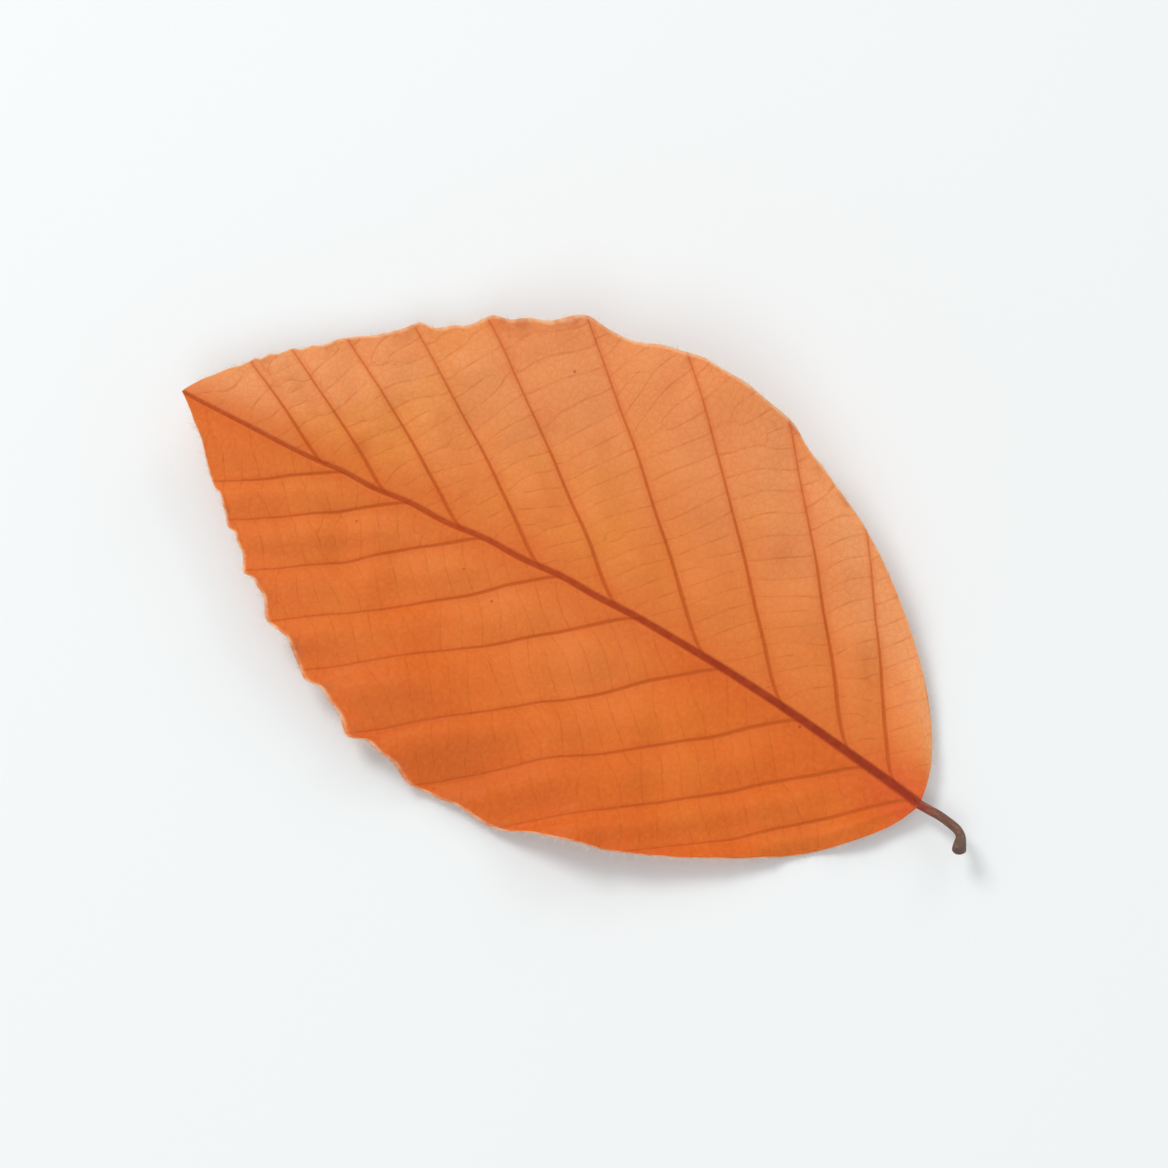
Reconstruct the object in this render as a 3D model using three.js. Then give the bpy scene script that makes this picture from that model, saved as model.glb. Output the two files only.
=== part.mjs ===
// A beech leaf, picked with its stalk and lying on a surface, upper face up. Millimetres, +Z up.
//
// Stalk, veins and blade grew as one piece, so the leaf is one closed solid: a skin over a row of rings.
// A ring of the stalk is a circle. A ring of the blade runs over the upper face from the left margin to
// the right one and comes back underneath. Its two halves follow the side veins, so the pleats of the
// blade, the ribs underneath and the teeth of the margin all lie on rings.

import * as THREE from "three";
import { mergeVertices } from "three/addons/utils/BufferGeometryUtils.js";

// Outline of the blade. The right half is narrower, rounder at the base and blunter at the tip.
const BLADE_LENGTH = 92;
const WIDEST_HALF = { left: 28.2, right: 26 };
const BASE_ROUNDNESS = { left: 0.69, right: 0.51 }; // power of the station: the lower, the rounder
const TIP_TAPER = { left: 1.18, right: 0.82 }; // near 1 the tip is a blunt point
const MIDRIB_BOW = 0.19; // sideways bow of the midrib to the right
const MIDRIB_BOW_SKEW = 1.25; // above 1 most of the bow is in the basal half

// Side veins: a vein leaves the midrib at one station and ends at the margin further up
const VEIN_STATIONS = [0.03, 0.095, 0.19, 0.3, 0.42, 0.525, 0.63, 0.73, 0.815];
const VEIN_STAGGER = 0.015; // right-hand veins leave a little nearer the tip than left-hand ones
const VEIN_REACH = { left: 0.6, right: 0.8 };
const VEIN_REACH_POWER = { left: 0.2, right: 0.5 }; // the higher, the steeper the first veins run out
const VEIN_CURVE = { left: 0.08, right: 0.22 }; // how much a vein bends towards the tip
const TOOTH_HEIGHT = 0.9;
const TEETH_FULL_FROM = 4; // number of the vein from which the teeth have their full height

// Sections
const BLADE_THICKNESS = 0.25;
const EDGE_THICKNESS = 0.2;
const MIDRIB_DEPTH = { base: 0.75, tip: 0.2 };
const MIDRIB_HALF_WIDTH = { base: 0.5, tip: 0.22 };
const SIDE_RIB_DEPTH = { inner: 0.28, outer: 0.1 };
const SIDE_RIB_SHARE = 0.05; // half width of a side rib, as a share of the distance between veins
const TOP_GROOVE = 0.08;
const PLEAT_HEIGHT = 0.6;
const PLEAT_START = 7; // distance from the midrib at which the pleats have their full height

// How the blade lies: it bears on its ribs round the midrib, and the margins lift off
const BEARING_CUT = 0.08; // how far the bearing ribs are pressed flat
const FLAT_HALF = 9; // half width of the strip that stays down
const SETTLE_HALF = 3; // where the blade comes down from the deep midrib to the side ribs
const BASE_LIFT = { height: 1.4, until: 0.14 };
const TIP_LIFT = { height: 6.5, from: 0.58 };
const RIGHT_EDGE_LIFT = 8;
const CURL_POWER = 1.7; // power of the distance out: above 1 the blade curls up
const LEFT_EDGE_LIFT = 6;
const LEFT_ROLL = { middle: 0.5, spread: 0.24 }; // where the left margin rolls down again
const LEFT_ARCH = 2.6; // how high the left half arches there
const EDGE_WAVE = { height: 1, turns: 3.5 };

// Stalk: where its middle runs, from the blade to the scar where it left the twig
const STALK_ROUTE = [
  [-3.3, 0.2, 0.4],
  [-5.3, 1.0, 0.9],
  [-6.0, 2.8, 1.6],
];
const STALK_RADIUS = { blade: 0.5, scar: 0.75 };
const SCAR_SHARE = 0.3; // length of the thick end of the stalk, as a share of the whole

// Mesh density
const STALK_RINGS = 8;
const SPREAD = [0.13, 0.28, 0.44, 0.6, 0.75, 0.89, 1]; // places out along a side vein, after the midrib
const RIB_SHOULDER = 0.7; // half width of the flat underside of the midrib, as a share of its own
const RIB_SHARE_LIMIT = 0.3; // of a short spoke at the base or the tip, the midrib takes no more
const FAN_STEPS = [0.03, 0.1, 0.2, 0.35, 0.5, 0.65, 0.8];
const BETWEEN_STEPS = [0.36, 0.64];
const TIP_STEPS = [0.22, 0.42, 0.62, 0.8, 0.93];

const SIDES = { left: 1, right: -1 };
const VEIN_COUNT = VEIN_STATIONS.length;
const TIP_INDEX = VEIN_COUNT + 1;
const HALF_COUNT = SPREAD.length + 2;

const smooth = (from, to, value) => THREE.MathUtils.smoothstep(value, from, to);
const clamp = (value) => THREE.MathUtils.clamp(value, 0, 1);
const mix = THREE.MathUtils.lerp;

const midribDepth = (station) => mix(MIDRIB_DEPTH.base, MIDRIB_DEPTH.tip, station);

function midribY(station) {
  return -MIDRIB_BOW * BLADE_LENGTH * station * (1 - station) ** MIDRIB_BOW_SKEW;
}

function outline(station, side) {
  return station ** BASE_ROUNDNESS[side] * (1 - station * station) ** TIP_TAPER[side];
}

function halfWidth(station, side) {
  const widestStation = Math.sqrt(BASE_ROUNDNESS[side] / (BASE_ROUNDNESS[side] + 2 * TIP_TAPER[side]));
  return (WIDEST_HALF[side] * outline(station, side)) / outline(widestStation, side);
}

// The midrib station of a place in the row of veins: 0 is the base, 1 the first vein, 2 the second, and
// so on to the tip. Before the first vein the places fan out from the base.
function stationOf(place) {
  if (place < 1) {
    return VEIN_STATIONS[0] * place ** 3;
  }
  const below = Math.min(Math.floor(place), VEIN_COUNT);
  const from = VEIN_STATIONS[below - 1];
  const to = below === VEIN_COUNT ? 1 : VEIN_STATIONS[below];
  return mix(from, to, place - below);
}

function staggered(place, side) {
  const share = Math.min(place, TIP_INDEX - place, 1);
  return stationOf(place) - SIDES[side] * VEIN_STAGGER * share ** 3;
}

function marginStation(station, side) {
  return station + VEIN_REACH[side] * station ** VEIN_REACH_POWER[side] * (1 - station);
}

// How near a place is to a vein: 1 on it, 0 midway between two.
function nearVein(place) {
  return 0.5 + 0.5 * Math.cos(2 * Math.PI * place);
}

function toothHeight(place) {
  const strength = smooth(0, TEETH_FULL_FROM, place) * (1 - smooth(VEIN_COUNT, TIP_INDEX, place));
  return TOOTH_HEIGHT * strength * nearVein(place) ** 2;
}

// The curve that runs from the midrib to the margin at a place in the row of veins.
function spokeEnds(place, side) {
  const inner = staggered(place, side);
  const outer = marginStation(inner, side);
  const width = halfWidth(outer, side) + toothHeight(place);
  return {
    inner: new THREE.Vector2(inner * BLADE_LENGTH, midribY(inner)),
    outer: new THREE.Vector2(outer * BLADE_LENGTH, midribY(outer) + SIDES[side] * width),
  };
}

function rightCurl(out) {
  return RIGHT_EDGE_LIFT * out ** CURL_POWER;
}

function leftCurl(station, out) {
  const rolled = Math.exp(-(((station - LEFT_ROLL.middle) / LEFT_ROLL.spread) ** 2));
  const arch = LEFT_ARCH * rolled * Math.sin(Math.PI * Math.min(out, 1)) ** 2;
  return LEFT_EDGE_LIFT * (1 - rolled) * out ** CURL_POWER + arch;
}

// Height of the blade's underside, where no rib stands out of it.
function underside(place, side, station, distance) {
  const along = clamp(station);
  const settled = mix(midribDepth(along), SIDE_RIB_DEPTH.inner, smooth(0, SETTLE_HALF, distance));
  const baseLift = BASE_LIFT.height * (1 - Math.min(along / BASE_LIFT.until, 1)) ** 2;
  const tipLift = TIP_LIFT.height * (Math.max(along - TIP_LIFT.from, 0) / (1 - TIP_LIFT.from)) ** 2;
  const out = Math.max(distance - FLAT_HALF, 0) / (WIDEST_HALF[side] - FLAT_HALF);
  const curl = side === "left" ? leftCurl(along, out) : rightCurl(out);
  const phase = 2 * Math.PI * EDGE_WAVE.turns * along + SIDES[side];
  const wave = EDGE_WAVE.height * (1 + Math.sin(phase)) * out ** 2;
  const pleat = PLEAT_HEIGHT * (1 - nearVein(place)) * smooth(0, PLEAT_START, distance);
  return settled - BEARING_CUT + baseLift + tipLift + curl + wave + pleat;
}

// A point of the upper face and the one below it, at a share of the way out along a spoke.
function bladePair(place, side, share, midribShare, onVein) {
  const ends = spokeEnds(place, side);
  const bend = share + VEIN_CURVE[side] * share * (share - 1);
  const x = mix(ends.inner.x, ends.outer.x, bend);
  const y = mix(ends.inner.y, ends.outer.y, share);
  const station = x / BLADE_LENGTH;
  const distance = Math.abs(ends.outer.y - ends.inner.y) * share;
  const under = underside(place, side, station, distance);
  const thickness = mix(BLADE_THICKNESS, EDGE_THICKNESS, share);
  const midrib = midribShare * midribDepth(clamp(station));
  const sideRib = onVein ? mix(SIDE_RIB_DEPTH.inner, SIDE_RIB_DEPTH.outer, share) : 0;
  const groove = midribShare > 0 || onVein ? TOP_GROOVE * (1 - share) : 0;
  return {
    upper: new THREE.Vector3(x, y, Math.max(under, 0) + thickness - groove),
    lower: new THREE.Vector3(x, y, Math.max(under - Math.max(midrib, sideRib), 0)),
  };
}

// One half of a blade ring, from beside the midrib to the margin.
function halfRing(place, side, onVein) {
  const ends = spokeEnds(place, side);
  const along = clamp(stationOf(place));
  const ribWidth = mix(MIDRIB_HALF_WIDTH.base, MIDRIB_HALF_WIDTH.tip, along);
  const length = Math.abs(ends.outer.y - ends.inner.y);
  const ribShare = Math.min(ribWidth / length, RIB_SHARE_LIMIT);
  const pairs = [
    bladePair(place, side, ribShare * RIB_SHOULDER, 1, false),
    bladePair(place, side, ribShare, 0, onVein),
  ];
  for (const step of SPREAD) {
    pairs.push(bladePair(place, side, mix(ribShare, 1, step), 0, onVein));
  }
  return pairs;
}

function bladeRing(place, onVein) {
  const left = halfRing(place, "left", onVein);
  const right = halfRing(place, "right", onVein);
  const middle = {
    upper: left[0].upper.clone().lerp(right[0].upper, 0.5),
    lower: left[0].lower.clone().lerp(right[0].lower, 0.5),
  };
  const across = [...left.reverse(), middle, ...right];
  return [...across.map((pair) => pair.upper), ...across.map((pair) => pair.lower).reverse()];
}

// A round ring with as many points as a blade ring, starting on the left and going over the top.
function roundRing(centre, direction, radius) {
  const left = new THREE.Vector3(0, 0, 1).cross(direction).normalize();
  const up = direction.clone().cross(left);
  const count = 2 * (2 * HALF_COUNT + 1);
  return Array.from({ length: count }, (_, index) => {
    const angle = (2 * Math.PI * (index + 0.5)) / count;
    const sideways = left.clone().multiplyScalar(radius * Math.cos(angle));
    const upwards = up.clone().multiplyScalar(radius * Math.sin(angle));
    return centre.clone().add(sideways).add(upwards);
  });
}

function stalkRings() {
  const lowest = BASE_LIFT.height - BEARING_CUT;
  const start = new THREE.Vector3(0, 0, lowest + STALK_RADIUS.blade);
  const points = STALK_ROUTE.map((offset) => start.clone().add(new THREE.Vector3(...offset)));
  const middle = new THREE.CatmullRomCurve3([start, ...points]);
  return Array.from({ length: STALK_RINGS + 1 }, (_, index) => {
    const share = 1 - index / STALK_RINGS;
    const swelling = smooth(1 - SCAR_SHARE, 1, share);
    const radius = mix(STALK_RADIUS.blade, STALK_RADIUS.scar, swelling);
    const direction = middle.getTangentAt(share).negate();
    return roundRing(middle.getPointAt(share), direction, radius);
  });
}

function bladeRings() {
  const rings = FAN_STEPS.map((place) => bladeRing(place, false));
  for (let vein = 1; vein <= VEIN_COUNT; vein += 1) {
    rings.push(bladeRing(vein - SIDE_RIB_SHARE, false));
    rings.push(bladeRing(vein, true));
    rings.push(bladeRing(vein + SIDE_RIB_SHARE, false));
    const steps = vein < VEIN_COUNT ? BETWEEN_STEPS : TIP_STEPS;
    steps.forEach((step) => rings.push(bladeRing(vein + step, false)));
  }
  return rings;
}

// Skins the rings, with a point at each end that closes the first ring and the last.
function skin(rings, firstPoint, lastPoint) {
  const count = rings[0].length;
  const vertices = [firstPoint, ...rings.flat(), lastPoint];
  const faces = [];
  const at = (ring, index) => 1 + ring * count + (index % count);
  for (let index = 0; index < count; index += 1) {
    faces.push(0, at(0, index + 1), at(0, index));
    faces.push(vertices.length - 1, at(rings.length - 1, index), at(rings.length - 1, index + 1));
  }
  for (let ring = 0; ring + 1 < rings.length; ring += 1) {
    for (let index = 0; index < count; index += 1) {
      faces.push(at(ring, index), at(ring, index + 1), at(ring + 1, index + 1));
      faces.push(at(ring, index), at(ring + 1, index + 1), at(ring + 1, index));
    }
  }
  const geometry = new THREE.BufferGeometry().setFromPoints(vertices);
  geometry.setIndex(faces);
  return mergeVertices(geometry);
}

function leafGeometry() {
  const stalk = stalkRings();
  const blade = bladeRings();
  const scar = stalk[0].reduce((sum, point) => sum.add(point), new THREE.Vector3());
  const tipHeight = underside(TIP_INDEX, "left", 1, 0) + EDGE_THICKNESS / 2;
  const tip = new THREE.Vector3(BLADE_LENGTH, 0, tipHeight);
  return skin([...stalk, ...blade], scar.divideScalar(stalk[0].length), tip);
}

// Puts the origin in the middle of the leaf's box, on the surface that it lies on.
function centred(geometry) {
  geometry.computeBoundingBox();
  const middle = geometry.boundingBox.getCenter(new THREE.Vector3());
  geometry.translate(-middle.x, -middle.y, -geometry.boundingBox.min.z);
  geometry.computeVertexNormals();
  return geometry;
}

const leafMaterial = new THREE.MeshStandardMaterial({ color: 0xd9783a, roughness: 0.6, metalness: 0 });

const leaf = new THREE.Mesh(centred(leafGeometry()), leafMaterial);
leaf.name = "beech_leaf";

const model = new THREE.Group();
model.add(leaf);

export default model;
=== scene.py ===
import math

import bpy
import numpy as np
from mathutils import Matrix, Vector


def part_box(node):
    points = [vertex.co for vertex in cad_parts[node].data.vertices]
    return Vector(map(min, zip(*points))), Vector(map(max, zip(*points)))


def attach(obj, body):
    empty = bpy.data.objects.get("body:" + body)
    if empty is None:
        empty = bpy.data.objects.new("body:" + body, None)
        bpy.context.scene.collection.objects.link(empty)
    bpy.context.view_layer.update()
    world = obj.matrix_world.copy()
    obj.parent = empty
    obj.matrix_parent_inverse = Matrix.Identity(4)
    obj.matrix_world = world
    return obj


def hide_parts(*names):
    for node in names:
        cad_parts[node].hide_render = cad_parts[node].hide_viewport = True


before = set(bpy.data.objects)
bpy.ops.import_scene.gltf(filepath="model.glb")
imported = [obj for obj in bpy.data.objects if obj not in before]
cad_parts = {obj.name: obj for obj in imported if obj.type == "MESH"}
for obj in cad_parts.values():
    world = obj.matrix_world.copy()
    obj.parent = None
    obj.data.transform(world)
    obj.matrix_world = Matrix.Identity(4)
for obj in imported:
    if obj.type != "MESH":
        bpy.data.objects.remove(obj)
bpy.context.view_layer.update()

# A beech leaf, picked with its stalk, lies on a pale surface, upper face up, and the camera looks down
# on it. The shape repeats the formulas of the CAD leaf in millimetres, on a much finer mesh, and adds
# what is too fine for CAD: the ladder of small veins, the quilting between them and the hairy margin.

CAD_NODE = "beech_leaf"
MM = 0.001

# Outline of the blade, as in CAD
BLADE_LENGTH = 92.0
WIDEST_HALF = {"left": 28.2, "right": 26.0}
BASE_ROUNDNESS = {"left": 0.69, "right": 0.51}
TIP_TAPER = {"left": 1.18, "right": 0.82}
MIDRIB_BOW = 0.19
MIDRIB_BOW_SKEW = 1.25

# Side veins, as in CAD
VEIN_STATIONS = np.array([0.03, 0.095, 0.19, 0.3, 0.42, 0.525, 0.63, 0.73, 0.815])
VEIN_STAGGER = 0.015
VEIN_REACH = {"left": 0.6, "right": 0.8}
VEIN_REACH_POWER = {"left": 0.2, "right": 0.5}
VEIN_CURVE = {"left": 0.08, "right": 0.22}
VEIN_COUNT = len(VEIN_STATIONS)
TIP_INDEX = VEIN_COUNT + 1

# Sections, as in CAD. A pair of values holds at the base and the tip, or at the midrib and the margin.
BLADE_THICKNESS = 0.25
EDGE_THICKNESS = 0.2
MIDRIB_DEPTH = (0.75, 0.2)
MIDRIB_HALF_WIDTH = (0.5, 0.22)
SIDE_RIB_DEPTH = (0.28, 0.1)
PLEAT_HEIGHT = 0.6
PLEAT_START = 7.0

# How the blade lies, as in CAD
BEARING_CUT = 0.08
FLAT_HALF = 9.0
SETTLE_HALF = 3.0
BASE_LIFT, BASE_LIFT_UNTIL = 1.4, 0.14
TIP_LIFT, TIP_LIFT_FROM = 6.5, 0.58
RIGHT_EDGE_LIFT = 8.0
CURL_POWER = 1.7
LEFT_EDGE_LIFT = 6.0
LEFT_ROLL_MIDDLE, LEFT_ROLL_SPREAD = 0.5, 0.24
LEFT_ARCH = 2.6
EDGE_WAVE, EDGE_WAVE_TURNS = 1.0, 3.5

# Stalk, as in CAD
STALK_ROUTE = np.array([[-3.3, 0.2, 0.4], [-5.3, 1.0, 0.9], [-6.0, 2.8, 1.6]])
STALK_RADIUS = (0.5, 0.75)
SCAR_SHARE = 0.3

# Teeth: a blunt one near the end of each vein, as in CAD but uneven, and small scallops between them
TOOTH_HEIGHT = 0.9
TEETH_FULL_FROM = 4
TOOTH_UNEVENNESS, TOOTH_RHYTHM, TOOTH_PHASE = 0.25, 2.7, 3.0
TOOTH_SHIFT = 0.03
TOOTH_SHRINK, TOOTH_SHRINK_VEINS = 0.55, (6, 9)
SCALLOP_HEIGHT, SCALLOPS_PER_VEIN = 0.12, 2.3
SCALLOPS_FULL_FROM = 2

# Fine relief of the veins. A zone runs from the distance where something starts to where it is full.
SIDE_VEIN_HALF_WIDTH = (0.24, 0.1)
SIDE_GROOVE = (0.1, 0.04)
MIDRIB_GROOVE = 0.16
ZIGZAG_HEIGHT, ZIGZAG_REACH = 0.12, 2.5
ZIGZAG_GROWS, ZIGZAG_FADES = (0.25, 0.6), (0.8, 1.0)
JUNCTION_SLIDE, JUNCTION_REACH = 0.9, 1.3
WANDER, WANDER_ZONE = 0.07, (1, 6)
WANDER_WAVES = ((0.42, 0.3, 1), (-0.23, 0.51, 2))
WANDER_PHASES = {"x": 0.7, "y": 2.9}
LADDER_PITCH = 2.1
LADDER_BOW, BOW_PER_GAP, BOW_PER_MM = 0.9, 2.4, 0.35
LADDER_SHIFT = 0.618
LADDER_FORKS, FORK_PLACES = 7, (0.15, 0.85)
LADDER_LINE_COSINES = (0.913, 0.993)
QUILT_HEIGHT, QUILT_ZONE = 0.1, (0, 3)

# Unevenness of the dried blade
RIPPLE_HEIGHT, RIPPLE_ZONE = 0.35, (4, 20)
RIPPLE_CLEARANCE = 1.5
RIPPLES = ((1.0, 0.31, 0.22, 0.4), (1.0, -0.17, 0.43, 2.1), (0.6, 0.63, -0.51, 0.0))
CRUMPLE_COUNT = 22
CRUMPLE_LENGTHS = (3.0, 10.0)
CRUMPLE_HEIGHT, CRUMPLE_ZONE = 0.07, (1.5, 6)
BLEMISH_STATION, BLEMISH_OFFSET, BLEMISH_RADIUS = 0.79, -3.7, 1.2
STALK_UNEVENNESS, STALK_TWISTS = (0.05, 0.03), (6, 17)
SCAR_PROFILE = ((0.3, -0.12), (0.55, -0.08), (0.75, 0.02), (0.92, 0.06))

# Hairs of the margin
HAIR_COUNT = 1800
HAIR_STRETCH = (0.02, 0.985)
HAIR_LENGTH = (0.3, 1.0)
HAIR_RADIUS = 0.018
HAIR_TAPER = 0.7
HAIR_LEAN, HAIR_LEAN_SPREAD = 0.45, 0.3
HAIR_TILT_SPREAD = 0.25
HAIR_BEND = 0.35
HAIR_CLEARANCE = 0.02
HAIR_LOOK_AHEAD = 0.5
HAIR_SIDES = 3
HAIR_STEPS = 3

# Mesh density
SPOKE_COLUMNS = 82
MIDRIB_COLUMNS = 12
MIDRIB_ZONE = 1.6
MIDRIB_ZONE_LIMIT = 0.3
MIDRIB_CROWDING = 1.3
BASE_PLACES = (0.004, 0.01, 0.018, 0.028)
FIRST_PLACE, TIP_GAP = 0.032, 0.02
VEIN_OFFSETS = np.array([0, 0.008, 0.016, 0.026, 0.04, 0.06, 0.09, 0.13, 0.18, 0.24, 0.3, 0.36, 0.43])
EDGE_ROUNDING = 0.05
STALK_RINGS = 28
STALK_CURVE_STEPS = 40
STALK_EDGE_COSINE = 0.985

# Camera, light and floor, in metres and degrees
CAMERA_ELEVATION = 72
CAMERA_HEADING = -60.4
CAMERA_LENS = 90
FRAME_WIDTH = 0.126
SKY_STRENGTH = 0.52
LIGHT_DISTANCE = 1.1
WARM_WHITE = (1.0, 0.99, 0.97)
COOL_WHITE = (0.97, 0.99, 1.0)
LIGHTS = {
    "key": {"heading": -15, "elevation": 46, "size": 0.47, "watts": 5.0, "colour": WARM_WHITE},
    "fill": {"heading": 115, "elevation": 50, "size": 0.7, "watts": 2.6, "colour": COOL_WHITE},
    "back": {"heading": -95, "elevation": 30, "size": 0.6, "watts": 1.6, "colour": WARM_WHITE},
}
FLOOR_HALF = 1.5

SIDES = {"left": 1.0, "right": -1.0}
FIELDS = ("vein_gap", "midrib_gap", "ladder", "fork_cos", "fork_sin", "blemish", "out", "along", "left")

rng = np.random.default_rng(7)


def random_crumple():
    return rng.uniform(0, np.pi), rng.uniform(*CRUMPLE_LENGTHS), rng.uniform(0, 2 * np.pi)


CRUMPLES = [random_crumple() for _ in range(CRUMPLE_COUNT)]


# ---------------------------------------------------------------- shape of the blade, in millimetres


def smooth(low, high, value):
    share = np.clip((value - low) / (high - low), 0, 1)
    return share * share * (3 - 2 * share)


def mix(pair, share):
    return pair[0] + (pair[1] - pair[0]) * share


def midrib_y(station):
    rest = np.clip(1 - station, 0, None)
    return -MIDRIB_BOW * BLADE_LENGTH * station * rest**MIDRIB_BOW_SKEW


def outline(station, side):
    return station ** BASE_ROUNDNESS[side] * np.clip(1 - station**2, 0, None) ** TIP_TAPER[side]


def half_width(station, side):
    widest_station = math.sqrt(BASE_ROUNDNESS[side] / (BASE_ROUNDNESS[side] + 2 * TIP_TAPER[side]))
    return WIDEST_HALF[side] * outline(station, side) / outline(widest_station, side)


def station_of(place):
    """The midrib station of a place in the row of veins: 0 is the base, 1 the first vein, and so on."""
    places = np.arange(1, TIP_INDEX + 1)
    stations = np.append(VEIN_STATIONS, 1.0)
    fan = VEIN_STATIONS[0] * np.clip(place, 0, 1) ** 3
    return np.where(place < 1, fan, np.interp(place, places, stations))


def staggered(place, side):
    share = np.minimum(np.minimum(place, TIP_INDEX - place), 1)
    return station_of(place) - SIDES[side] * VEIN_STAGGER * share**3


def near_vein(place):
    """1 on a side vein, 0 midway between two."""
    return 0.5 + 0.5 * np.cos(2 * np.pi * place)


def tooth_height(place, side):
    """How far the margin stands out at a place: the teeth and scallops differ a little from each other."""
    strength = smooth(0, TEETH_FULL_FROM, place) * (1 - smooth(VEIN_COUNT, TIP_INDEX, place))
    uneven = 1 + TOOTH_UNEVENNESS * np.sin(TOOTH_RHYTHM * place + TOOTH_PHASE * SIDES[side])
    smaller = 1 - TOOTH_SHRINK * smooth(*TOOTH_SHRINK_VEINS, place)
    tooth = TOOTH_HEIGHT * uneven * smaller * near_vein(place + TOOTH_SHIFT) ** 2
    scallop = SCALLOP_HEIGHT * np.sin(2 * np.pi * SCALLOPS_PER_VEIN * place + SIDES[side])
    return (tooth + scallop * smooth(0, SCALLOPS_FULL_FROM, place)) * strength


def spoke_ends(place, side):
    """Where the curve at a place in the row of veins leaves the midrib, and where it meets the margin."""
    inner = staggered(place, side)
    outer = inner + VEIN_REACH[side] * inner ** VEIN_REACH_POWER[side] * (1 - inner)
    width = half_width(outer, side) + tooth_height(place, side)
    start = np.stack([inner * BLADE_LENGTH, midrib_y(inner)], -1)
    end = np.stack([outer * BLADE_LENGTH, midrib_y(outer) + SIDES[side] * width], -1)
    return start, end


def curl(side, along, out):
    if side == "right":
        return RIGHT_EDGE_LIFT * out**CURL_POWER
    rolled = np.exp(-(((along - LEFT_ROLL_MIDDLE) / LEFT_ROLL_SPREAD) ** 2))
    arch = LEFT_ARCH * rolled * np.sin(np.pi * np.minimum(out, 1)) ** 2
    return LEFT_EDGE_LIFT * (1 - rolled) * out**CURL_POWER + arch


def underside(place, side, along, distance):
    """Height of the blade's underside where no rib stands out of it, as in CAD."""
    settled = mix(MIDRIB_DEPTH, along)
    settled = settled + (SIDE_RIB_DEPTH[0] - settled) * smooth(0, SETTLE_HALF, distance)
    base_lift = BASE_LIFT * (1 - np.minimum(along / BASE_LIFT_UNTIL, 1)) ** 2
    tip_lift = TIP_LIFT * (np.maximum(along - TIP_LIFT_FROM, 0) / (1 - TIP_LIFT_FROM)) ** 2
    out = np.maximum(distance - FLAT_HALF, 0) / (WIDEST_HALF[side] - FLAT_HALF)
    wave = EDGE_WAVE * (1 + np.sin(2 * np.pi * EDGE_WAVE_TURNS * along + SIDES[side])) * out**2
    pleat = PLEAT_HEIGHT * (1 - near_vein(place)) * smooth(0, PLEAT_START, distance)
    return settled - BEARING_CUT + base_lift + tip_lift + curl(side, along, out) + wave + pleat


def zigzag(station):
    """The midrib turns a little at every side vein in the half of the blade near the tip."""
    place = np.interp(station, np.append(VEIN_STATIONS, 1.0), np.arange(1, TIP_INDEX + 1))
    strength = smooth(*ZIGZAG_GROWS, station) * (1 - smooth(*ZIGZAG_FADES, station))
    return ZIGZAG_HEIGHT * strength * np.sin(2 * np.pi * place)


def wander(x, y, phase):
    """A slow sideways drift, so that no vein is quite straight."""
    return WANDER * sum(np.sin(across * x + up * y + times * phase) for across, up, times in WANDER_WAVES)


def ripple(x, y):
    """A few long waves that cross each other, each with its share of the height."""
    waves = sum(share * np.sin(across * x + up * y + phase) for share, across, up, phase in RIPPLES)
    return RIPPLE_HEIGHT * waves / sum(share for share, *_ in RIPPLES)


def crumple(x, y):
    """Many shorter waves in all directions, the longer the higher."""
    height = np.zeros_like(x)
    for heading, length, phase in CRUMPLES:
        run = x * np.cos(heading) + y * np.sin(heading)
        height += length / max(CRUMPLE_LENGTHS) * np.sin(2 * np.pi * run / length + phase)
    return CRUMPLE_HEIGHT * height


def ladder_angles(place, run_out, start, direction, gap_width):
    """Two angles whose sum goes once round from each small cross vein to the next: a steady one, and one
    that adds or drops a vein at each fork."""
    steps = np.diff(start, axis=0, prepend=start[:1])
    run = np.cumsum((steps * direction).sum(-1))
    along_vein = run_out + run[:, None]
    gap = np.floor(place)
    within = (place - gap)[:, None]
    bow = LADDER_BOW * np.sin(np.pi * within) * np.sin(BOW_PER_GAP * gap[:, None] + BOW_PER_MM * along_vein)
    steady = 2 * np.pi * (along_vein / LADDER_PITCH + LADDER_SHIFT * gap[:, None]) + bow
    forks = np.zeros_like(steady)
    for number in range(TIP_INDEX):
        rows = gap == number
        low, high = along_vein[rows].min(), along_vein[rows].max()
        for _ in range(LADDER_FORKS):
            along, across = rng.uniform(low, high), rng.uniform(*FORK_PLACES)
            sideways = (within[rows] - across) * gap_width[rows]
            forks[rows] += rng.choice([-1, 1]) * np.arctan2(sideways, along_vein[rows] - along)
    return steady, forks


def spoke_shares(length):
    """How far out the columns of the mesh lie: close together on the midrib, then evenly to the margin."""
    zone = np.minimum(MIDRIB_ZONE / length, MIDRIB_ZONE_LIMIT)[:, None]
    inner = zone * np.linspace(0, 1, MIDRIB_COLUMNS + 1)[None, 1:] ** MIDRIB_CROWDING
    outer = np.linspace(0, 1, SPOKE_COLUMNS - MIDRIB_COLUMNS + 1)[None, 1:]
    return np.hstack([inner, zone + (1 - zone) * outer])


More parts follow.
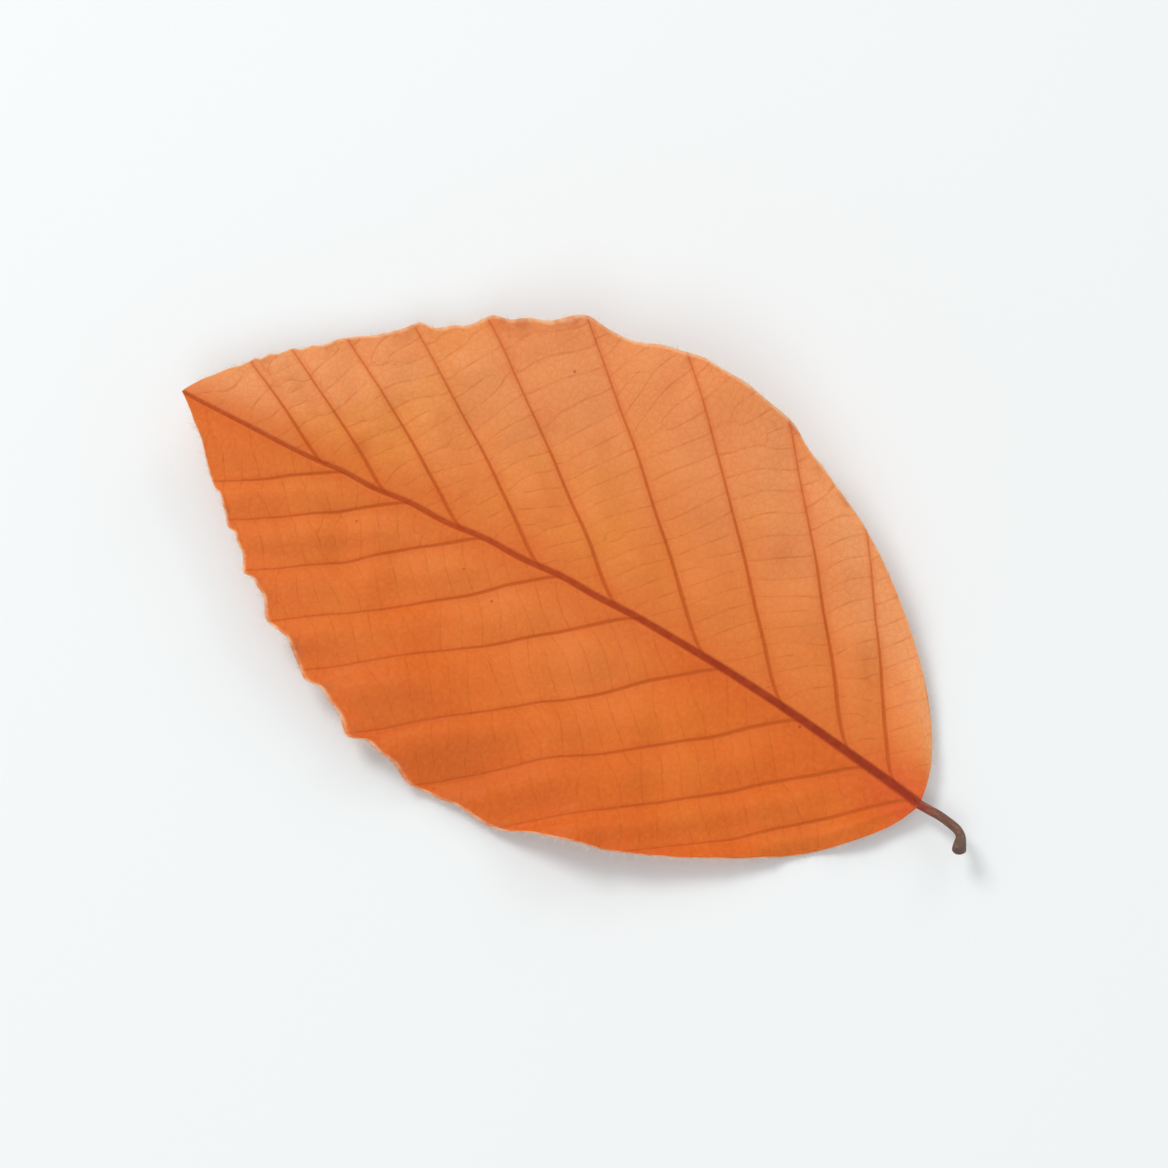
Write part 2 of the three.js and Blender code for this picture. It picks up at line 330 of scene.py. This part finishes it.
def spread_out(place, side, start, end):
    """Where the points of the blade lie, seen from above: a row for each place, a column for each share."""
    length = np.abs(end[:, 1] - start[:, 1])
    share = spoke_shares(length)
    distance = length[:, None] * share
    bend = share + VEIN_CURVE[side] * share * (share - 1)
    row = place[:, None]
    slide = JUNCTION_SLIDE * np.minimum(np.minimum(row, TIP_INDEX - row), 1) ** 3
    x = start[:, :1] + (end[:, :1] - start[:, :1]) * bend - slide * np.exp(-distance / JUNCTION_REACH)
    along = np.clip(x / BLADE_LENGTH, 0, 1)
    turned = zigzag(along) * np.exp(-((distance / ZIGZAG_REACH) ** 2))
    y = start[:, 1:] + (end[:, 1:] - start[:, 1:]) * share + turned
    drift = smooth(*WANDER_ZONE, distance) * (1 - share**5)
    aside, upward = wander(x, y, WANDER_PHASES["x"]), wander(x, y, WANDER_PHASES["y"])
    return x + drift * aside, y + drift * upward, share, distance, along


def half_blade(place, side):
    """One half of the blade as grids: its two faces, and the fields that its material is painted by."""
    start, end = spoke_ends(place, side)
    x, y, share, distance, along = spread_out(place, side, start, end)
    row = place[:, None]

    spoke = end - start
    reach = np.linalg.norm(spoke, axis=1)[:, None]
    direction = spoke / reach
    across = np.gradient(y, place, axis=0) * direction[:, :1]
    gap_width = np.abs(across - np.gradient(x, place, axis=0) * direction[:, 1:])
    ladder, forks = ladder_angles(place, reach * share, start, direction, gap_width)
    vein_distance = np.abs(row - np.round(row).clip(1, VEIN_COUNT)) * gap_width
    vein_gap = vein_distance / mix(SIDE_VEIN_HALF_WIDTH, share)
    midrib_gap = distance / mix(MIDRIB_HALF_WIDTH, along)

    vein = np.exp(-(vein_gap**2))
    midrib = np.exp(-(midrib_gap**4) / 2)
    between = (1 - near_vein(row)) * smooth(*QUILT_ZONE, distance)
    quilt = QUILT_HEIGHT * (0.5 - 0.5 * np.cos(ladder + forks)) * between
    under = underside(row, side, along, distance) + quilt
    # The ripples fade out where the blade bears on the surface
    under = under + ripple(x, y) * smooth(*RIPPLE_ZONE, distance) * smooth(0, RIPPLE_CLEARANCE, under)
    under = under + crumple(x, y) * smooth(*CRUMPLE_ZONE, distance)

    thickness = mix((BLADE_THICKNESS, EDGE_THICKNESS), share)
    rib = np.maximum(mix(SIDE_RIB_DEPTH, share) * vein, mix(MIDRIB_DEPTH, along) * midrib)
    groove = np.maximum(mix(SIDE_GROOVE, share) * vein, MIDRIB_GROOVE * midrib)
    upper = np.maximum(under, 0) + thickness - groove
    lower = np.minimum(np.maximum(under - rib, 0), upper - EDGE_THICKNESS / 2)
    blemish_y = midrib_y(BLEMISH_STATION) + BLEMISH_OFFSET
    blemish_gap = np.hypot(x - BLEMISH_STATION * BLADE_LENGTH, y - blemish_y) / BLEMISH_RADIUS
    return {
        "upper": np.stack([x, y, upper], -1),
        "lower": np.stack([x, y, lower], -1),
        "vein_gap": vein_gap,
        "midrib_gap": midrib_gap,
        "ladder": ladder,
        "fork_cos": np.cos(forks),
        "fork_sin": np.sin(forks),
        "blemish": np.exp(-(blemish_gap**2)),
        "out": share,
        "along": along,
        "left": np.full_like(x, 1.0 if side == "left" else 0.0),
    }


# ---------------------------------------------------------------- rings of the leaf


def blade_places():
    """Where the rings of the blade lie in the row of veins: close together on each vein."""
    within = np.concatenate([VEIN_OFFSETS, [0.5], 1 - VEIN_OFFSETS[:0:-1]])
    places = np.concatenate([gap + within for gap in range(TIP_INDEX)])
    kept = places[(places > FIRST_PLACE) & (TIP_INDEX - places > TIP_GAP)]
    return np.concatenate([BASE_PLACES, kept])


def across_both(left, right, middle):
    return np.concatenate([left[:, ::-1], middle[:, None], right], axis=1)


def rounded_margin(upper, lower, edge, inside):
    """Points that stand a little out of the margin, halfway between the two faces."""
    direction = upper[:, edge] - upper[:, inside]
    direction /= np.linalg.norm(direction, axis=1)[:, None]
    return ((upper[:, edge] + lower[:, edge]) / 2 + direction * EDGE_ROUNDING)[:, None]


def blade_rings():
    """Rings of points, and the same rings for each field. A ring runs over the top and back underneath."""
    place = blade_places()
    left = half_blade(place, "left")
    right = half_blade(place, "right")
    faces = {}
    for face in ("upper", "lower"):
        middle = (left[face][:, 0] + right[face][:, 0]) / 2
        faces[face] = across_both(left[face], right[face], middle)
    upper, lower = faces["upper"], faces["lower"]
    right_margin = rounded_margin(upper, lower, -1, -2)
    left_margin = rounded_margin(upper, lower, 0, 1)
    rings = np.concatenate([upper, right_margin, lower[:, ::-1], left_margin], axis=1)

    fields = {}
    for name in FIELDS:
        middle = (left[name][:, 0] + right[name][:, 0]) / 2
        if name == "midrib_gap":
            middle = np.zeros_like(middle)
        row = across_both(left[name], right[name], middle)
        fields[name] = np.concatenate([row, row[:, -1:], row[:, ::-1], row[:, :1]], axis=1)
    below = np.zeros(rings.shape[:2])
    below[:, upper.shape[1] + 1 : -1] = 1
    below[:, upper.shape[1]] = below[:, -1] = 0.5
    fields["below"] = below
    return rings, fields


def catmull_rom(points, count):
    """Evenly spaced points and directions along a smooth curve through points, as in CAD."""
    ends = np.vstack([2 * points[0] - points[1], points, 2 * points[-1] - points[-2]])
    share = np.linspace(0, 1, STALK_CURVE_STEPS, endpoint=False)[:, None]
    spans = []
    for first in range(len(points) - 1):
        before, here, there, after = ends[first : first + 4]
        slope = (there - before) * share
        square = (2 * before - 5 * here + 4 * there - after) * share**2
        cube = (3 * here - before - 3 * there + after) * share**3
        spans.append((2 * here + slope + square + cube) / 2)
    found = np.vstack([*spans, points[-1:]])
    run = np.concatenate([[0], np.cumsum(np.linalg.norm(np.diff(found, axis=0), axis=1))])
    wanted = np.linspace(0, run[-1], count)
    places = np.stack([np.interp(wanted, run, found[:, axis]) for axis in range(3)], -1)
    directions = np.gradient(places, axis=0)
    return places, directions / np.linalg.norm(directions, axis=1)[:, None]


def stalk_rings(angles):
    """Rings from the scar to the blade, with how far each is along the stalk from the blade."""
    lowest = BASE_LIFT - BEARING_CUT
    start = np.array([0, 0, lowest + STALK_RADIUS[0]])
    places, directions = catmull_rom(np.vstack([start, start + STALK_ROUTE]), STALK_RINGS + 1)
    rings, shares = [], []
    for index in range(STALK_RINGS, -1, -1):
        share = index / STALK_RINGS
        radius = mix(STALK_RADIUS, smooth(1 - SCAR_SHARE, 1, share))
        left = np.cross([0, 0, 1], -directions[index])
        left /= np.linalg.norm(left)
        up = np.cross(-directions[index], left)
        three_sided = STALK_UNEVENNESS[0] * np.sin(3 * angles + STALK_TWISTS[0] * share)
        knobbly = STALK_UNEVENNESS[1] * np.sin(angles + STALK_TWISTS[1] * share)
        uneven = (three_sided + knobbly) * smooth(0, SCAR_SHARE, share)
        outward = np.cos(angles)[:, None] * left + np.sin(angles)[:, None] * up
        rings.append(places[index] + radius * (1 + uneven)[:, None] * outward)
        shares.append(share)
    # The scar: a rounded rim with a shallow hollow in it
    rim, direction = rings[0], directions[-1]
    centre = rim.mean(axis=0)
    scar = [centre + (rim - centre) * size + direction * height for size, height in SCAR_PROFILE]
    return np.array(scar + rings), np.array([1.0] * len(scar) + shares)


def ring_angles():
    """Angles round the stalk for the points of a blade ring, crowded where the midrib is."""
    quarter = np.arccos(np.linspace(STALK_EDGE_COSINE, 0, SPOKE_COLUMNS + 1))
    top = np.concatenate([quarter, np.pi - quarter[-2::-1]])
    return np.concatenate([top, [np.pi], 2 * np.pi - top[::-1], [2 * np.pi]])


def skinned(rings, first, last):
    """Vertices and faces of a closed skin over rings, with a point that closes each end."""
    ring_count, count = rings.shape[:2]
    vertices = np.vstack([rings.reshape(-1, 3), first, last])
    index = np.arange(count)
    after = (index + 1) % count
    quads = []
    for ring in range(ring_count - 1):
        here, there = ring * count, (ring + 1) * count
        quads.append(np.stack([here + index, here + after, there + after, there + index], -1))
    first_point = np.full(count, ring_count * count)
    last_ring = (ring_count - 1) * count
    first_cap = np.stack([first_point, after, index], -1)
    last_cap = np.stack([first_point + 1, last_ring + index, last_ring + after], -1)
    return vertices, np.concatenate(quads).tolist() + first_cap.tolist() + last_cap.tolist()


def placing(vertices):
    """The shift that puts the middle of the leaf's box where the CAD leaf has it."""
    low, high = (np.array(corner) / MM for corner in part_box(CAD_NODE))
    own_low, own_high = vertices.min(axis=0), vertices.max(axis=0)
    shift = (low + high) / 2 - (own_low + own_high) / 2
    shift[2] = low[2] - own_low[2]
    return shift


def add_field(mesh, name, values):
    layer = mesh.attributes.new(name, "FLOAT", "POINT")
    layer.data.foreach_set("value", values.astype(np.float32))


def finish_mesh(name, vertices, faces, materials):
    mesh = bpy.data.meshes.new(name)
    mesh.from_pydata((vertices * MM).tolist(), [], faces)
    for material in materials:
        mesh.materials.append(material)
    mesh.shade_smooth()
    piece = bpy.data.objects.new(name, mesh)
    bpy.context.scene.collection.objects.link(piece)
    return piece


def make_leaf(materials):
    blade, fields = blade_rings()
    stalk, stalk_share = stalk_rings(ring_angles())
    tip_height = underside(np.array(TIP_INDEX), "left", np.array(1.0), np.array(0.0)) + EDGE_THICKNESS / 2
    tip = np.array([BLADE_LENGTH, 0, tip_height])
    scar = stalk[0].mean(axis=0)
    vertices, faces = skinned(np.concatenate([stalk, blade]), scar, tip)
    shift = placing(vertices)
    piece = finish_mesh("leaf", vertices + shift, faces, materials)
    mesh = piece.data
    for name, values in fields.items():
        stalk_values = np.repeat(values[:1], len(stalk), axis=0)
        every = np.concatenate([stalk_values, values]).ravel()
        add_field(mesh, name, np.append(every, [every[0], every[-1]]))
    count = blade.shape[1]
    every = np.repeat(np.concatenate([stalk_share, np.zeros(len(blade))]), count)
    add_field(mesh, "stalk", np.append(every, [1.0, 0.0]))
    # The faces of the stalk and of its end cap take the second material
    of_stalk = np.zeros(len(mesh.polygons), np.int32)
    of_stalk[: (len(stalk) - 1) * count] = 1
    of_stalk[-2 * count : -count] = 1
    mesh.polygons.foreach_set("material_index", of_stalk)
    return piece, blade + shift


# ---------------------------------------------------------------- hairs of the margin


def hair(root, direction, bend, length):
    """A tapered, slightly curved hair as points and faces."""
    side = np.cross(direction, [0, 0, 1.0])
    side /= np.linalg.norm(side)
    up = np.cross(side, direction)
    vertices, faces = [], []
    for step in range(HAIR_STEPS):
        share = step / HAIR_STEPS
        middle = root + direction * length * share + bend * length * share**2
        radius = HAIR_RADIUS * (1 - HAIR_TAPER * share)
        for turn in np.arange(HAIR_SIDES) * 2 * np.pi / HAIR_SIDES:
            vertices.append(middle + radius * (np.cos(turn) * side + np.sin(turn) * up))
    vertices.append(root + direction * length + bend * length)
    for step in range(HAIR_STEPS - 1):
        for edge in range(HAIR_SIDES):
            here = step * HAIR_SIDES + edge
            after = step * HAIR_SIDES + (edge + 1) % HAIR_SIDES
            faces.append([here, after, after + HAIR_SIDES, here + HAIR_SIDES])
    top = (HAIR_STEPS - 1) * HAIR_SIDES
    for edge in range(HAIR_SIDES):
        faces.append([top + edge, top + (edge + 1) % HAIR_SIDES, top + HAIR_SIDES])
    faces.append(list(range(HAIR_SIDES))[::-1])
    return np.array(vertices), faces


def unit(vector):
    return vector / np.linalg.norm(vector)


def make_hairs(blade, material):
    """A sparse fringe of pale hairs that point outwards and a little to the tip."""
    margins = {"right": 2 * SPOKE_COLUMNS + 1, "left": blade.shape[1] - 1}
    vertices, faces, used = [], [], 0
    for side, column in margins.items():
        edge = blade[:, column]
        run = np.concatenate([[0], np.cumsum(np.linalg.norm(np.diff(edge, axis=0), axis=1))])
        for place in np.sort(rng.uniform(*HAIR_STRETCH, HAIR_COUNT // 2)) * run[-1]:
            root = np.array([np.interp(place, run, edge[:, axis]) for axis in range(3)])
            further = place + HAIR_LOOK_AHEAD
            ahead = np.array([np.interp(further, run, edge[:, axis]) for axis in range(3)])
            forward = unit(ahead - root)
            outward = np.cross(forward, [0, 0, 1.0]) * -SIDES[side]
            lean = rng.normal(HAIR_LEAN, HAIR_LEAN_SPREAD)
            direction = unit(outward + lean * forward + [0, 0, rng.normal(0, HAIR_TILT_SPREAD)])
            length = rng.uniform(*HAIR_LENGTH)
            bend = HAIR_BEND * rng.normal(0, 1, 3)
            points, made = hair(root - outward * EDGE_ROUNDING, direction, bend, length)
            points[:, 2] = np.maximum(points[:, 2], HAIR_CLEARANCE)
            vertices.append(points)
            faces += [[corner + used for corner in face] for face in made]
            used += len(points)
    return finish_mesh("margin_hairs", np.vstack(vertices), faces, [material])


# ---------------------------------------------------------------- materials


def linear(code):
    """Linear red, green, blue and alpha of an sRGB code such as d9783a."""
    parts = [int(code[at : at + 2], 16) / 255 for at in (0, 2, 4)]
    return [c / 12.92 if c <= 0.04045 else ((c + 0.055) / 1.055) ** 2.4 for c in parts] + [1.0]


class Nodes:
    """Builds a material's node tree. A value is a number, a colour or another node's output."""

    def __init__(self, name):
        self.material = bpy.data.materials.new(name)
        self.material.use_nodes = True
        self.tree = self.material.node_tree
        self.surface = self.tree.nodes["Principled BSDF"]

    def put(self, socket, value):
        if isinstance(value, bpy.types.NodeSocket):
            self.tree.links.new(value, socket)
        else:
            socket.default_value = value

    def finish(self, inputs):
        """Sets the named sockets of the surface and gives the finished material."""
        for name, value in inputs.items():
            self.put(self.surface.inputs[name], value)
        return self.material

    def node(self, kind, inputs, output=0, **settings):
        made = self.tree.nodes.new(kind)
        for name, value in settings.items():
            setattr(made, name, value)
        for name, value in inputs.items():
            self.put(made.inputs[name], value)
        return made.outputs[output]

    def math(self, operation, *values):
        return self.node("ShaderNodeMath", dict(enumerate(values)), operation=operation)

    def times(self, first, second):
        return self.math("MULTIPLY", first, second)

    def band(self, value, low, high, to=(0.0, 1.0)):
        """Goes smoothly from to[0] to to[1] as value goes from low to high."""
        inputs = {"Value": value, "From Min": low, "From Max": high, "To Min": to[0], "To Max": to[1]}
        return self.node("ShaderNodeMapRange", inputs, interpolation_type="SMOOTHSTEP")

    def blend(self, share, first, second):
        inputs = {0: share, 6: first, 7: second}
        return self.node("ShaderNodeMix", inputs, output=2, data_type="RGBA")

    def field(self, name):
        return self.node("ShaderNodeAttribute", {}, output=2, attribute_name=name)

    def place(self, flat=True):
        """Where a point lies in millimetres, without its height if flat."""
        where = self.node("ShaderNodeTexCoord", {}, output=3)
        scale = (1 / MM, 1 / MM, 0 if flat else 1 / MM)
        return self.node("ShaderNodeMapping", {"Vector": where, "Scale": scale})

    def noise(self, vector, scale, detail=3.0, output=0):
        inputs = {"Vector": vector, "Scale": scale, "Detail": detail, "Roughness": 0.55}
        return self.node("ShaderNodeTexNoise", inputs, output=output)

    def cells(self, vector, scale, feature="F1", output=0):
        inputs = {"Vector": vector, "Scale": scale}
        return self.node("ShaderNodeTexVoronoi", inputs, output=output, feature=feature)

    def bump(self, height, distance, strength):
        inputs = {"Height": height, "Distance": distance, "Strength": strength}
        return self.node("ShaderNodeBump", inputs)


# The pale orange of the right half is a painted sheen, and the left half's orange is partly its own colour
# and partly painted shade.
RIGHT_ORANGE = linear("e4803c")
LEFT_ORANGE_AND_SHADE = linear("df6c24")
PALE_SHEEN_ORANGE = linear("f5ab73")
YELLOW_ORANGE = linear("e8943b")
DEEP_ORANGE = linear("cf5a1c")
RED_ORANGE = linear("d94c26")
VEIN_ORANGE = linear("c05614")
MIDRIB_BASE = linear("92290c")
MIDRIB_TIP = linear("b0400a")
RIM_PALE = linear("f3c7a2")
DRY_BROWN = linear("b8683a")
SPECK_BROWN = linear("86421f")
UNDER_PINK = linear("dc9b76")
UNDER_RIB = linear("c0713f")
STALK_BROWN = linear("6f4636")
SCAR_BROWN = linear("62493c")
FIBRE_BROWN = linear("9a7358")
PORE_BROWN = linear("3d2a22")
HAIR_WHITE = linear("fff3e8")
HAIR_CREAM = linear("f7dcc4")
FLOOR_WHITE = linear("f2f5f6")


def ground_colour(n, place, fields):
    """Orange of the two halves, deeper along the veins. The right half is paler outwards and towards the
    tip, a painted sheen; the left half is deeper, partly its own colour and partly painted shade that grows
    towards its margin and eases near the midrib and towards the tip.
    """
    out, along, left = fields["out"], fields["along"], fields["left"]
    # The left half is a deeper orange than the right: partly the leaf's own colour, partly painted shade.
    colour = n.blend(left, RIGHT_ORANGE, LEFT_ORANGE_AND_SHADE)
    right = n.math("SUBTRACT", 1.0, left)
    # Painted sheen: the right half turns pale outwards, a little more so towards the base.
    pale = n.times(n.band(out, 0.15, 0.95, (0.0, 0.62)), n.band(along, 0.1, 0.5, (1.35, 1.0)))
    colour = n.blend(n.times(pale, right), colour, PALE_SHEEN_ORANGE)
    # Painted shade: the left half deepens towards its margin.
    colour = n.blend(n.times(n.band(out, 0.45, 0.95, (0.0, 0.4)), left), colour, DEEP_ORANGE)
    # Painted shade eased: near the midrib and towards the tip the left half goes back towards the right
    # half's orange.
    near_midrib = n.times(n.band(along, 0.28, 0.42, (0.0, 0.7)), n.band(out, 0.25, 0.8, (1.0, 0.0)))
    painted_shade_eased = n.math("MAXIMUM", near_midrib, n.band(along, 0.5, 0.85, (0.0, 0.6)))
    colour = n.blend(n.times(painted_shade_eased, left), colour, RIGHT_ORANGE)
    # More painted sheen near the tip of the right half.
    colour = n.blend(n.times(n.band(along, 0.78, 0.95, (0.0, 0.3)), right), colour, PALE_SHEEN_ORANGE)
    yellow = n.times(n.band(n.noise(place, 0.05), 0.5, 0.7, (0.0, 0.35)), n.band(left, 0.0, 1.0, (1.0, 0.5)))
    colour = n.blend(yellow, colour, YELLOW_ORANGE)
    colour = n.blend(n.band(n.noise(place, 0.16, 4.0), 0.52, 0.75, (0.0, 0.22)), colour, DEEP_ORANGE)
    colour = n.blend(n.band(fields["midrib_gap"], 0.0, 14.0, (0.4, 0.0)), colour, DEEP_ORANGE)
    colour = n.blend(n.band(fields["vein_gap"], 0.0, 6.0, (0.28, 0.0)), colour, DEEP_ORANGE)
    by_midrib = n.band(fields["midrib_gap"], 2.0, 10.0, (1.0, 0.0))
    return n.blend(n.times(n.band(along, 0.01, 0.12, (0.5, 0.0)), by_midrib), colour, RED_ORANGE)


def ladder_line(n, place):
    """The small cross veins, which fade here and there."""
    forks = n.math("ARCTAN2", n.field("fork_sin"), n.field("fork_cos"))
    angle = n.math("ADD", n.field("ladder"), forks)
    fading = n.band(n.noise(place, 0.5, 2.0), 0.35, 0.65, (0.35, 1.0))
    return n.times(n.band(n.math("COSINE", angle), *LADDER_LINE_COSINES), fading)


def areole_edges(n, place):
    """Distance from the edges of the smallest fields of the network."""
    shift = n.noise(place, 0.7, 2.0, output=1)
    warped = n.node("ShaderNodeVectorMath", {0: shift, 1: place}, operation="ADD")
    return n.cells(warped, 1.25, "DISTANCE_TO_EDGE")


def with_flaws(n, place, fields, colour):
    """Adds the blemish, scattered dark specks, patches of dry margin and the pale rim."""
    out = fields["out"]
    colour = n.blend(n.times(n.field("blemish"), 0.45), colour, VEIN_ORANGE)
    picked = n.node("ShaderNodeSeparateColor", {"Color": n.cells(place, 0.22, output=1)})
    speck = n.band(n.cells(place, 0.22), 0.01, 0.06, (0.75, 0.0))
    colour = n.blend(n.times(speck, n.band(picked, 0.6, 0.62)), colour, SPECK_BROWN)
    dry_edge = n.times(n.band(out, 0.93, 1.0, (0.0, 0.5)), n.band(n.noise(place, 0.3), 0.5, 0.65))
    colour = n.blend(dry_edge, colour, DRY_BROWN)
    rim = n.times(n.band(out, 0.986, 0.998, (0.0, 0.8)), n.band(n.noise(place, 0.9), 0.35, 0.65, (0.3, 1.0)))
    return n.blend(rim, colour, RIM_PALE)


def leaf_material():
    n = Nodes("leaf_blade")
    place = n.place()
    fields = {name: n.field(name) for name in ("out", "along", "left", "vein_gap", "midrib_gap")}
    below = n.field("below")
    grain = n.noise(place, 1.6)
    ladder = ladder_line(n, place)
    areoles = areole_edges(n, place)

    upper = ground_colour(n, place, fields)
    upper = n.blend(n.times(ladder, 0.3), upper, VEIN_ORANGE)
    upper = n.blend(n.band(areoles, 0.0, 0.1, (0.16, 0.0)), upper, DEEP_ORANGE)
    upper = n.blend(n.band(grain, 0.35, 0.75, (0.0, 0.18)), upper, YELLOW_ORANGE)
    vein_line = n.band(fields["vein_gap"], 0.5, 1.4, (1.0, 0.0))
    midrib_line = n.band(fields["midrib_gap"], 0.6, 1.5, (1.0, 0.0))
    vein_share = n.times(vein_line, n.band(fields["out"], 0.3, 1.0, (0.8, 0.45)))
    upper = n.blend(vein_share, upper, VEIN_ORANGE)
    midrib_colour = n.blend(n.band(fields["along"], 0.0, 0.7), MIDRIB_BASE, MIDRIB_TIP)
    midrib_share = n.times(midrib_line, n.band(fields["along"], 0.3, 1.0, (1.0, 0.75)))
    worn = n.band(n.noise(place, 0.7), 0.3, 0.7, (0.85, 1.0))
    upper = n.blend(n.times(midrib_share, worn), upper, midrib_colour)
    upper = with_flaws(n, place, fields, upper)

    under = n.blend(0.62, upper, UNDER_PINK)
    rib_line = n.math("MAXIMUM", vein_line, midrib_line)
    under = n.blend(n.times(rib_line, 0.7), under, UNDER_RIB)

    relief = n.math("ADD", n.band(areoles, 0.0, 0.3), n.times(ladder, -0.8))
    relief = n.math("ADD", relief, n.times(grain, 0.6))
    return n.finish({
        "Base Color": n.blend(below, upper, under),
        "Roughness": n.math("ADD", n.band(grain, 0.3, 0.7, (0.5, 0.62)), n.times(below, 0.15)),
        "Normal": n.bump(relief, 0.00003, 0.8),
        "Specular IOR Level": 0.17,
        "Subsurface Weight": 0.35,
        "Subsurface Radius": (1.0, 0.4, 0.12),
        "Subsurface Scale": 0.0006,
    })


def stalk_material():
    n = Nodes("leaf_stalk")
    place = n.place(flat=False)
    stalk = n.field("stalk")
    grain = n.noise(place, 2.2, 4.0)
    stretched = n.node("ShaderNodeMapping", {"Vector": place, "Scale": (0.5, 2.0, 2.0)})
    fibres = n.noise(stretched, 1.6)
    colour = n.blend(n.band(stalk, 0.0, 0.35), MIDRIB_BASE, STALK_BROWN)
    colour = n.blend(n.band(stalk, 0.55, 0.95), colour, SCAR_BROWN)
    colour = n.blend(n.band(fibres, 0.45, 0.7, (0.0, 0.45)), colour, FIBRE_BROWN)
    colour = n.blend(n.band(grain, 0.55, 0.75, (0.0, 0.5)), colour, PORE_BROWN)
    roughness = n.band(grain, 0.3, 0.7, (0.5, 0.7))
    return n.finish({"Base Color": colour, "Roughness": roughness, "Normal": n.bump(fibres, 0.00006, 0.7)})


def hair_material():
    n = Nodes("margin_hair")
    tint = n.noise(n.place(flat=False), 0.8, 2.0)
    colour = n.blend(n.band(tint, 0.4, 0.6), HAIR_WHITE, HAIR_CREAM)
    return n.finish({"Base Color": colour, "Roughness": 0.45})


def floor_material():
    return Nodes("pale_floor").finish({"Base Color": FLOOR_WHITE, "Roughness": 0.9})


# ---------------------------------------------------------------- camera, light and floor


def aim(heading, elevation):
    """The direction of something at a heading from +X and an elevation, both in degrees."""
    heading, elevation = math.radians(heading), math.radians(elevation)
    level = math.cos(elevation)
    return Vector((math.cos(heading) * level, math.sin(heading) * level, math.sin(elevation)))


def add_facing(name, data, look, location):
    """Adds a camera or a light that looks along a direction."""
    piece = bpy.data.objects.new(name, data)
    piece.location = location
    piece.rotation_euler = look.to_track_quat("-Z", "Y").to_euler()
    bpy.context.scene.collection.objects.link(piece)
    return piece


def make_camera(target):
    data = bpy.data.cameras.new("camera")
    data.lens = CAMERA_LENS
    data.clip_start = 0.01
    distance = FRAME_WIDTH * CAMERA_LENS / data.sensor_width
    look = aim(CAMERA_HEADING, -CAMERA_ELEVATION)
    bpy.context.scene.camera = add_facing("camera", data, look, target - look * distance)


def make_studio():
    world = bpy.data.worlds.new("studio")
    world.use_nodes = True
    sky = world.node_tree.nodes["Background"]
    sky.inputs["Color"].default_value = (1.0, 1.0, 1.0, 1.0)
    sky.inputs["Strength"].default_value = SKY_STRENGTH
    bpy.context.scene.world = world
    bpy.context.scene.view_settings.view_transform = "Standard"
    for name, light in LIGHTS.items():
        data = bpy.data.lights.new(name, "AREA")
        data.shape = "DISK"
        data.size = light["size"]
        data.energy = light["watts"]
        data.color = light["colour"]
        away = aim(light["heading"], light["elevation"])
        add_facing(name, data, -away, away * LIGHT_DISTANCE)


def make_floor():
    corners = [(x * FLOOR_HALF, y * FLOOR_HALF, 0) for x, y in ((-1, -1), (1, -1), (1, 1), (-1, 1))]
    mesh = bpy.data.meshes.new("floor")
    mesh.from_pydata(corners, [], [(0, 1, 2, 3)])
    mesh.materials.append(floor_material())
    floor = bpy.data.objects.new("floor", mesh)
    bpy.context.scene.collection.objects.link(floor)


low, high = (Vector(corner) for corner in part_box(CAD_NODE))
make_camera((low + high) / 2)
make_studio()
make_floor()

leaf, blade_points = make_leaf([leaf_material(), stalk_material()])
hairs = make_hairs(blade_points, hair_material())
for piece in (leaf, hairs):
    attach(piece, "root")
    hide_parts(CAD_NODE)
